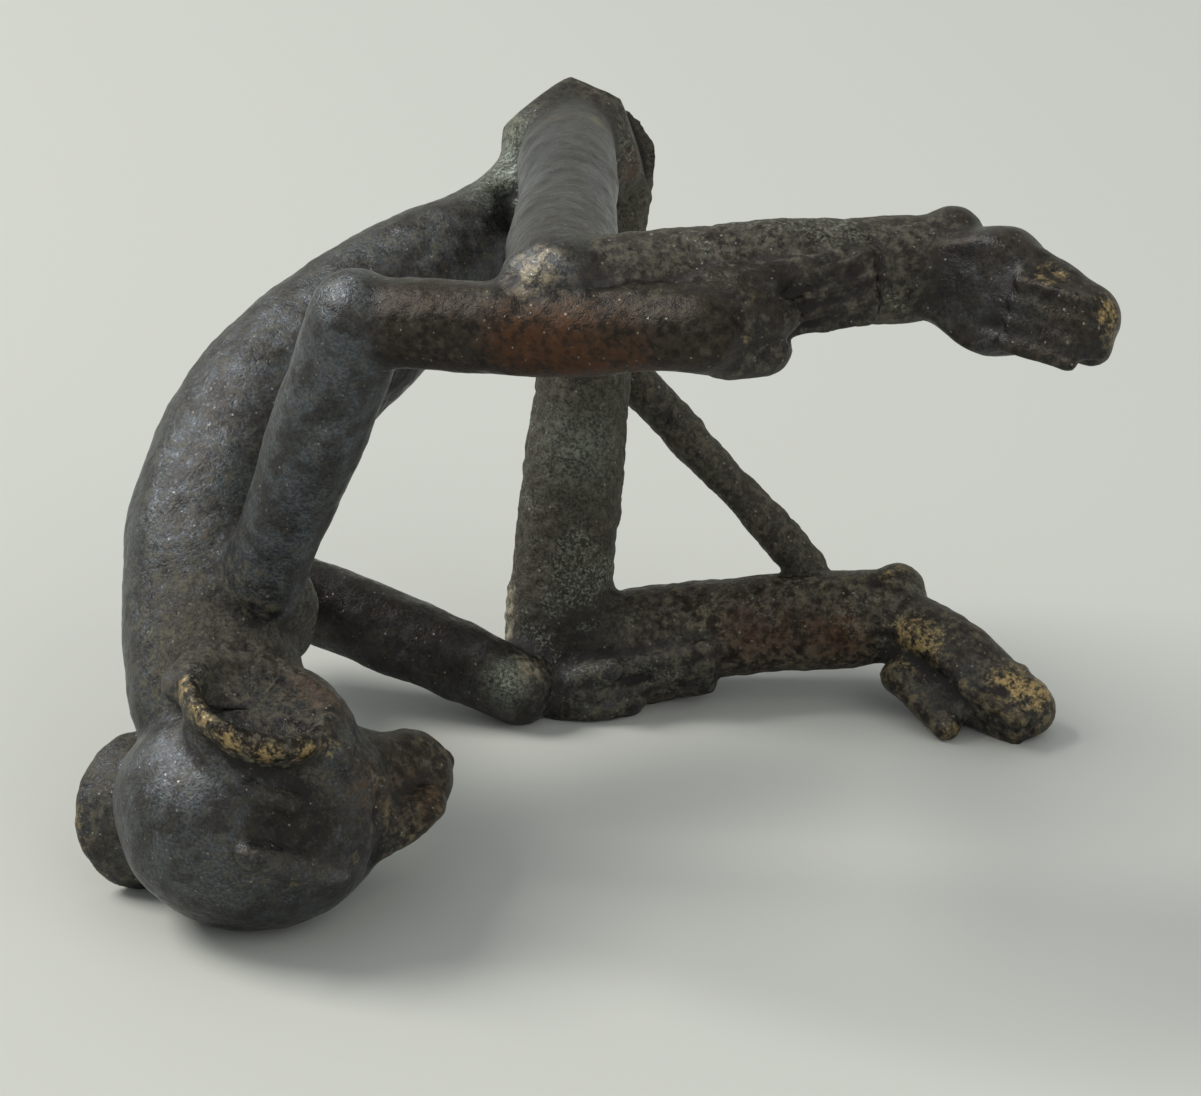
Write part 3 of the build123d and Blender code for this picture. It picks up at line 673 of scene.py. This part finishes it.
class WEIGHT_OT_casting(bpy.types.Operator):
    """Lute the wax into one skin, roughen it, and divide it into its members again."""
    bl_idname = "weight.casting"
    bl_label = "Casting Skin"

    def execute(self, context):
        skin = context.scene.weight_skin
        tree, owners = member_index()
        casting = self.luted(skin)
        mesh = casting.data
        labels = member_of_faces(mesh, tree, owners)
        ends = edge_ends(mesh)
        vertex_group(casting, "joints", joint_weights(mesh, labels, ends))
        add_modifier(casting, "SMOOTH", factor=0.5, iterations=5)
        add_modifier(casting, "SMOOTH", factor=0.5, iterations=skin.luting, vertex_group="joints")
        values = self.finish_values(mesh, labels, ends)
        vertex_group(casting, "crusted", values["crust"])
        mm = 1 / MM
        add_modifier(casting, "DISPLACE", texture=clouds("swell", 4.5, 1), strength=skin.swell * mm,
                     mid_level=0.5, texture_coords="LOCAL")
        add_modifier(casting, "DISPLACE", texture=clouds("dents", 1.5, 2), strength=skin.dents * mm,
                     mid_level=0.5, texture_coords="LOCAL")
        add_modifier(casting, "DISPLACE", texture=ridges("crust", 0.9), strength=-skin.crust * mm,
                     mid_level=0.5, texture_coords="LOCAL", vertex_group="crusted")
        add_modifier(casting, "DISPLACE", texture=clouds("grain", 0.45, 3), strength=skin.pits * mm,
                     mid_level=0.5, texture_coords="LOCAL", vertex_group="crusted")
        places = coordinates(mesh)
        normals = vertex_normals(mesh)
        for points, radius, depth in MARKS:
            places -= normals * (near_path(places, points, radius) * depth)[:, None]
        for centre, direction, reach in FLATS:
            outward = np.array(Vector(direction).normalized())
            over = np.maximum((places - np.array(placed(centre))) @ outward, 0)
            places -= outward * (over * (near_path(places, [centre, centre], reach) > 0.25) * 0.85)[:, None]
        places[:, 2] = np.maximum(places[:, 2], 0)
        set_coordinates(mesh, places)
        self.record_finish(mesh, ends, values)
        self.divide(casting, labels)
        return {"FINISHED"}

    def luted(self, skin):
        """Join the wax and luting into one skin, in the working size where 1 unit is 1 mm."""
        pieces = list(wax().objects)
        pick(*pieces)
        bpy.ops.object.join()
        casting = bpy.context.object
        casting.name = "casting"
        casting.scale = (1 / MM, 1 / MM, 1 / MM)
        bpy.ops.object.transform_apply(location=True, rotation=True, scale=True)
        casting.data.materials.clear()
        lap = skin.lap / MM
        add_modifier(casting, "DISPLACE", strength=lap, mid_level=0)
        add_modifier(casting, "REMESH", mode="VOXEL", voxel_size=skin.grain / MM)
        add_modifier(casting, "DISPLACE", strength=-lap, mid_level=0)
        return casting

    def finish_values(self, mesh, labels, ends):
        """What the patina, the painted sheen and the painted shade show at each vertex: from its member, and from the
        patches.
        """
        values = {"crust": spread(vertex_values(mesh, labels, 1), ends, 40)}
        values["worn"] = spread(vertex_values(mesh, labels, 2), ends, 40)
        values["steel"] = spread(vertex_values(mesh, labels, 3), ends, 40)
        values.update({kind: np.zeros(len(mesh.vertices)) for kind in ("gilt", "dark", "red", "pale", "green")})
        places = coordinates(mesh)
        for kind, centre, radius, strength in PATCHES:
            near = near_path(places, [centre, centre], radius) * strength
            values[kind] = values[kind] + (1 - np.minimum(values[kind], 1)) * near
        return values

    def record_finish(self, mesh, ends, values):
        """Store what the patina needs, with the high and low places of the finished skin."""
        for kind, amounts in values.items():
            store(mesh, kind, amounts)
        high = hollow_and_high(mesh, ends, 60)
        fine = hollow_and_high(mesh, ends, 8)
        store(mesh, "high", np.clip(0.5 + high * 1.2 + fine * 4, 0, 1))

    def divide(self, casting, labels):
        """Divide the skin into its members, close each one and send it to its node's place."""
        for name in MEMBERS:
            casting.data.materials.append(bpy.data.materials.new(name))
        casting.data.polygons.foreach_set("material_index", labels.astype(np.int32))
        casting.vertex_groups.clear()
        casting.scale = (MM, MM, MM)
        pick(casting)
        bpy.ops.object.transform_apply(location=True, rotation=True, scale=True)
        bpy.ops.object.mode_set(mode="EDIT")
        bpy.ops.mesh.select_all(action="SELECT")
        bpy.ops.mesh.separate(type="MATERIAL")
        bpy.ops.object.mode_set(mode="OBJECT")
        slots = {slot: patina(slot) for slot in ("dark_brass", "crusted_brass", "worn_brass")}
        names = list(MEMBERS)
        found = set()
        for piece in list(bpy.context.selected_objects):
            name = piece.data.materials[piece.data.polygons[0].material_index].name
            found.add(name)
            piece.name = f"cast_{name}"
            close(piece)
            piece.data.materials.clear()
            piece.data.materials.append(slots[FINISHES[name][0]])
            piece.data.polygons.foreach_set("material_index", np.zeros(len(piece.data.polygons), np.int32))
            for home in list(piece.users_collection):
                home.objects.unlink(piece)
            bpy.context.scene.collection.objects.link(piece)
            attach(piece, "root")
            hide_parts(*MEMBERS[name])
        for name in names:
            bpy.data.materials.remove(bpy.data.materials[name])
        if found != set(names):
            raise RuntimeError(f"members without a skin: {sorted(set(names) - found)}")


def close(piece):
    """Close a member where it was divided from its neighbours, with a sharp edged inner face."""
    pick(piece)
    bpy.ops.object.mode_set(mode="EDIT")
    bpy.ops.mesh.select_mode(type="EDGE")
    bpy.ops.mesh.select_all(action="DESELECT")
    bpy.ops.mesh.select_non_manifold(extend=False, use_wire=False, use_boundary=True,
                                     use_multi_face=False, use_non_contiguous=False, use_verts=False)
    bpy.ops.mesh.mark_sharp()
    bpy.ops.mesh.select_all(action="SELECT")
    bpy.ops.mesh.fill_holes(sides=0)
    bpy.ops.mesh.select_mode(type="FACE")
    bpy.ops.mesh.select_all(action="DESELECT")
    bpy.ops.mesh.select_face_by_sides(number=4, type="GREATER")
    bpy.ops.mesh.poke()
    bpy.ops.object.mode_set(mode="OBJECT")
    piece.data.polygons.foreach_set("use_smooth", np.ones(len(piece.data.polygons), bool))


class Nodes:
    """Small helper that adds and links shader nodes."""

    def __init__(self, tree):
        self.tree = tree
        tree.nodes.clear()

    def add(self, kind, inputs=(), **settings):
        """Add a node, set its properties, and set or link its inputs by number or name."""
        node = self.tree.nodes.new(kind)
        for name, value in settings.items():
            setattr(node, name, value)
        for key, value in dict(inputs).items():
            socket = node.inputs[key]
            if isinstance(value, bpy.types.NodeSocket):
                self.tree.links.new(value, socket)
            else:
                socket.default_value = value
        return node

    def noise(self, vector, scale, detail=4.0, rough=0.55, low=0.35, high=0.65):
        """Noise with its contrast stretched between low and high."""
        noise = self.add("ShaderNodeTexNoise", {"Vector": vector, "Scale": scale, "Detail": detail,
                                                "Roughness": rough})
        return self.stretch(noise.outputs["Fac"], low, high)

    def stretch(self, value, low, high, out_low=0.0, out_high=1.0):
        """Map a range of a value smoothly to another."""
        node = self.add("ShaderNodeMapRange", {"Value": value, "From Min": low, "From Max": high,
                                               "To Min": out_low, "To Max": out_high},
                        interpolation_type="SMOOTHSTEP")
        return node.outputs["Result"]

    def math(self, operation, first, second=0.0):
        """Arithmetic on two values."""
        return self.add("ShaderNodeMath", {0: first, 1: second}, operation=operation, use_clamp=False).outputs[0]

    def blend(self, mask, first, second):
        """Mix two colours by a mask."""
        node = self.add("ShaderNodeMix", {"Factor": mask, 6: first, 7: second}, data_type="RGBA")
        return node.outputs[2]

    def blend_value(self, mask, first, second):
        """Mix two values by a mask."""
        return self.add("ShaderNodeMix", {0: mask, 2: first, 3: second}, data_type="FLOAT").outputs[0]

    def attribute(self, name):
        """Value stored on the skin."""
        return self.add("ShaderNodeAttribute", attribute_name=name).outputs["Fac"]


def opaque(colour):
    """Colour with full alpha."""
    return (*colour, 1.0)


def patina(name):
    """Patina of handled brass: brown skin with a painted blue grey sheen, olive crust, pale green, gold wear, dark
    patches of dirt and painted shade, and darker hollows.
    """
    colours = bpy.context.scene.weight_patina
    material = bpy.data.materials.new(name)
    material.use_nodes = True
    nodes = Nodes(material.node_tree)
    place = nodes.add("ShaderNodeTexCoord").outputs["Object"]
    mm = nodes.add("ShaderNodeMapping", {"Vector": place, "Scale": (1 / MM, 1 / MM, 1 / MM)}).outputs[0]
    broad = nodes.noise(mm, 0.28, 3, 0.6, 0.35, 0.65)
    blotch = nodes.noise(mm, 0.9, 5, 0.6, 0.36, 0.64)
    mottle = nodes.noise(mm, 2.6, 5, 0.65, 0.34, 0.66)
    grit = nodes.noise(mm, 7.5, 4, 0.7, 0.35, 0.68)
    high = nodes.attribute("high")
    crust_amount = nodes.attribute("crust")
    worn_amount = nodes.attribute("worn")
    painted_sheen_amount = nodes.attribute("steel")
    edge = nodes.stretch(mottle, 0.0, 1.0, 0.45, 1.0)

    base = nodes.blend(mottle, opaque(colours.shadow), opaque(colours.bronze))
    # Painted sheen: blue grey mixed in by member and blotches, in place of the reflection of the pale daylight
    painted_sheen_mask = nodes.math("MULTIPLY", painted_sheen_amount, nodes.stretch(blotch, 0.0, 1.0, 0.35, 1.0))
    painted_sheen_tone = nodes.blend(grit, opaque([c * 0.45 for c in colours.steel]), opaque(colours.steel))
    base = nodes.blend(painted_sheen_mask, base, painted_sheen_tone)

    crust_field = nodes.math("ADD", crust_amount, nodes.math("MULTIPLY", mottle, 0.45))
    crust_field = nodes.math("ADD", crust_field, nodes.math("MULTIPLY", blotch, 0.25))
    crust_mask = nodes.stretch(crust_field, 0.55, 1.05)
    crust_tone = nodes.blend(grit, opaque([c * 0.28 for c in colours.crust]), opaque(colours.crust))
    crust_tone = nodes.blend(nodes.stretch(mottle, 0.5, 1.0, 0.0, 0.5), crust_tone,
                             opaque([c * 1.7 for c in colours.crust]))
    base = nodes.blend(crust_mask, base, crust_tone)

    wear_field = nodes.math("MULTIPLY", worn_amount, nodes.stretch(high, 0.48, 0.85))
    patches = nodes.math("MULTIPLY", nodes.math("MULTIPLY", worn_amount, blotch), 0.28)
    wear_field = nodes.math("ADD", wear_field, patches)
    wear_field = nodes.math("MULTIPLY", wear_field, nodes.stretch(mottle, 0.0, 1.0, 0.45, 1.0))
    wear_mask = nodes.math("MULTIPLY", nodes.stretch(wear_field, 0.10, 0.90), nodes.stretch(grit, 0.0, 1.0, 0.55, 1.0))
    gilt = nodes.math("MULTIPLY", nodes.attribute("gilt"), nodes.stretch(grit, 0.0, 1.0, 0.55, 1.0))
    gilt_mask = nodes.stretch(nodes.math("MULTIPLY", gilt, edge), 0.22, 0.75)
    wear_mask = nodes.math("MAXIMUM", wear_mask, nodes.math("MULTIPLY", gilt_mask, nodes.stretch(high, 0.30, 0.52)))
    base = nodes.blend(wear_mask, base, opaque(colours.gold))

    red_mask = nodes.stretch(nodes.math("MULTIPLY", nodes.attribute("red"), edge), 0.08, 0.80, 0.0, 0.85)
    base = nodes.blend(red_mask, base, opaque(colours.red))
    # Dark patches: partly dark patina, partly painted shadow and shade: painted shadow on the far arm under the body
    # and by the floor under the head, far knee and far foot, and painted shade in the poked hole and the heel pit
    dark_patch_and_shade_mask = nodes.stretch(nodes.math("MULTIPLY", nodes.attribute("dark"), edge), 0.05, 0.85, 0.0, 0.88)
    base = nodes.blend(dark_patch_and_shade_mask, base, opaque(colours.dirt_and_shade))
    pale_mask = nodes.stretch(nodes.math("MULTIPLY", nodes.attribute("pale"), edge), 0.15, 0.80, 0.0, 0.85)
    base = nodes.blend(nodes.math("MULTIPLY", pale_mask, nodes.stretch(high, 0.20, 0.55, 0.4, 1.0)), base, opaque(colours.pale))
    green_field = nodes.math("MULTIPLY", nodes.stretch(broad, 0.65, 0.98), nodes.stretch(grit, 0.45, 0.9))
    green_field = nodes.math("MULTIPLY", green_field, nodes.stretch(crust_amount, 0.2, 0.8, 0.05, 0.45))
    green_patch = nodes.math("MULTIPLY", nodes.attribute("green"), nodes.stretch(grit, 0.1, 0.9, 0.15, 0.9))
    green_mask = nodes.math("MAXIMUM", green_field, green_patch)
    base = nodes.blend(green_mask, base, opaque(colours.green))

    # Darker towards near black in the hollows and creases of the skin, wherever the smoothed skin stands over it
    hollow_darkening_mask = nodes.stretch(nodes.math("ADD", high, nodes.math("MULTIPLY", grit, 0.10)), 0.50, 0.22)
    base = nodes.blend(nodes.math("MULTIPLY", hollow_darkening_mask, 0.9), base, opaque(colours.dirt_and_shade))

    specks = nodes.add("ShaderNodeTexVoronoi", {"Vector": mm, "Scale": 2.4}, feature="F1").outputs["Distance"]
    speck_mask = nodes.math("MULTIPLY", nodes.stretch(specks, 0.16, 0.08), nodes.stretch(grit, 0.2, 0.8))
    base = nodes.blend(nodes.math("MULTIPLY", speck_mask, 0.55), base, (0.42, 0.40, 0.35, 1))

    metal = nodes.blend_value(crust_mask, 0.85, 0.25)
    metal = nodes.blend_value(wear_mask, metal, 0.95)
    metal = nodes.blend_value(hollow_darkening_mask, metal, 0.1)
    rough = nodes.blend_value(mottle, 0.30, 0.50)
    rough = nodes.blend_value(painted_sheen_mask, rough, 0.30)
    rough = nodes.blend_value(crust_mask, rough, 0.72)
    rough = nodes.blend_value(wear_mask, rough, 0.34)
    rough = nodes.blend_value(hollow_darkening_mask, rough, 0.8)

    height = nodes.math("ADD", nodes.math("MULTIPLY", mottle, 0.5), nodes.math("MULTIPLY", grit, 0.35))
    height = nodes.math("MULTIPLY", height, nodes.stretch(crust_amount, 0.0, 1.0, 0.55, 1.3))
    bump = nodes.add("ShaderNodeBump", {"Height": height, "Strength": 0.55, "Distance": 0.09 * MM})
    shader = nodes.add("ShaderNodeBsdfPrincipled", {"Base Color": base, "Metallic": metal,
                                                    "Roughness": rough, "Normal": bump.outputs[0]})
    nodes.add("ShaderNodeOutputMaterial", {"Surface": shader.outputs[0]})
    return material


def area_lamp(name, place, size, power):
    """Square soft lamp that looks at the figure; place in m."""
    deselect()
    bpy.ops.object.light_add(type="AREA", location=place)
    lamp = bpy.context.object
    lamp.name = name
    lamp.data.energy = power
    lamp.data.shape = "SQUARE"
    lamp.data.size = size
    towards = Vector((0, 0, 0.01)) - Vector(place)
    lamp.rotation_euler = towards.to_track_quat("-Z", "Y").to_euler()


class WEIGHT_OT_stage(bpy.types.Operator):
    """Lay the pale floor, hang the lamps and set up the camera."""
    bl_idname = "weight.stage"
    bl_label = "Stage"

    def execute(self, context):
        stage = context.scene.weight_stage
        deselect()
        bpy.ops.mesh.primitive_plane_add(size=3.0, location=(0, 0, 0))
        floor = context.object
        floor.name = "paper_floor"
        floor.data.materials.append(self.paper(stage.floor))
        self.surround(context.scene)
        area_lamp("key_lamp", (-0.30, 0.06, 0.34), 0.20, stage.key_power)
        area_lamp("fill_lamp", (0.25, -0.30, 0.30), 0.40, stage.fill_power)
        look = Vector((stage.look_x, stage.look_y, 0))
        back = Vector((0, -math.cos(stage.height_angle), math.sin(stage.height_angle)))
        bpy.ops.object.camera_add(location=look + back * stage.distance,
                                  rotation=(math.pi / 2 - stage.height_angle, 0, 0))
        camera = context.object
        camera.data.sensor_width = 36
        camera.data.lens = stage.lens
        camera.data.clip_start = 0.01
        context.scene.camera = camera
        context.scene.view_settings.view_transform = "Standard"
        return {"FINISHED"}

    def paper(self, colour):
        """Matt pale paper."""
        material = bpy.data.materials.new("pale_paper")
        material.use_nodes = True
        shader = material.node_tree.nodes["Principled BSDF"]
        shader.inputs["Base Color"].default_value = opaque(colour)
        shader.inputs["Roughness"].default_value = 0.9
        return material

    def surround(self, scene):
        """Plain pale surround, as pale as the paper to the camera and in reflections."""
        world = bpy.data.worlds.new("pale_surround")
        scene.world = world
        world.use_nodes = True
        nodes = Nodes(world.node_tree)
        path = nodes.add("ShaderNodeLightPath")
        seen = nodes.math("MAXIMUM", path.outputs["Is Camera Ray"], path.outputs["Is Glossy Ray"])
        seen = nodes.math("MAXIMUM", seen, path.outputs["Is Transmission Ray"])
        light = nodes.add("ShaderNodeBackground", {"Color": (0.86, 0.92, 1.0, 1), "Strength": 0.50})
        white = nodes.add("ShaderNodeBackground", {"Color": (0.61, 0.61, 0.54, 1), "Strength": 1.0})
        mix = nodes.add("ShaderNodeMixShader", {0: seen, 1: light.outputs[0], 2: white.outputs[0]})
        nodes.add("ShaderNodeOutputWorld", {"Surface": mix.outputs[0]})


class WEIGHT_PT_panel(bpy.types.Panel):
    """Sidebar panel with the steps and sizes."""
    bl_idname = "WEIGHT_PT_panel"
    bl_label = "Cast Monkey Weight"
    bl_space_type = "VIEW_3D"
    bl_region_type = "UI"
    bl_category = "Weight"

    def draw(self, context):
        for step in STEPS:
            self.layout.operator(step.bl_idname)
        for group in (context.scene.weight_skin, context.scene.weight_patina, context.scene.weight_stage):
            box = self.layout.box()
            for name in group.__annotations__:
                box.prop(group, name)


STEPS = (WEIGHT_OT_trunk, WEIGHT_OT_head, WEIGHT_OT_ears, WEIGHT_OT_arms, WEIGHT_OT_hands, WEIGHT_OT_legs,
         WEIGHT_OT_feet, WEIGHT_OT_tail, WEIGHT_OT_added_wax, WEIGHT_OT_casting, WEIGHT_OT_stage)
GROUPS = {"weight_skin": WeightSkin, "weight_patina": WeightPatina, "weight_stage": WeightStage}


def register():
    """Register the settings, steps and panel."""
    for group in (*GROUPS.values(), *STEPS, WEIGHT_PT_panel):
        bpy.utils.register_class(group)
    for name, group in GROUPS.items():
        setattr(bpy.types.Scene, name, PointerProperty(type=group))


def unregister():
    """Remove the settings, steps and panel."""
    for name in GROUPS:
        delattr(bpy.types.Scene, name)
    for group in (WEIGHT_PT_panel, *reversed(STEPS), *GROUPS.values()):
        bpy.utils.unregister_class(group)


def main():
    """Run every step in order."""
    register()
    bpy.ops.weight.trunk()
    bpy.ops.weight.head()
    bpy.ops.weight.ears()
    bpy.ops.weight.arms()
    bpy.ops.weight.hands()
    bpy.ops.weight.legs()
    bpy.ops.weight.feet()
    bpy.ops.weight.tail()
    bpy.ops.weight.added_wax()
    bpy.ops.weight.casting()
    bpy.ops.weight.stage()


if __name__ == "__main__":
    main()
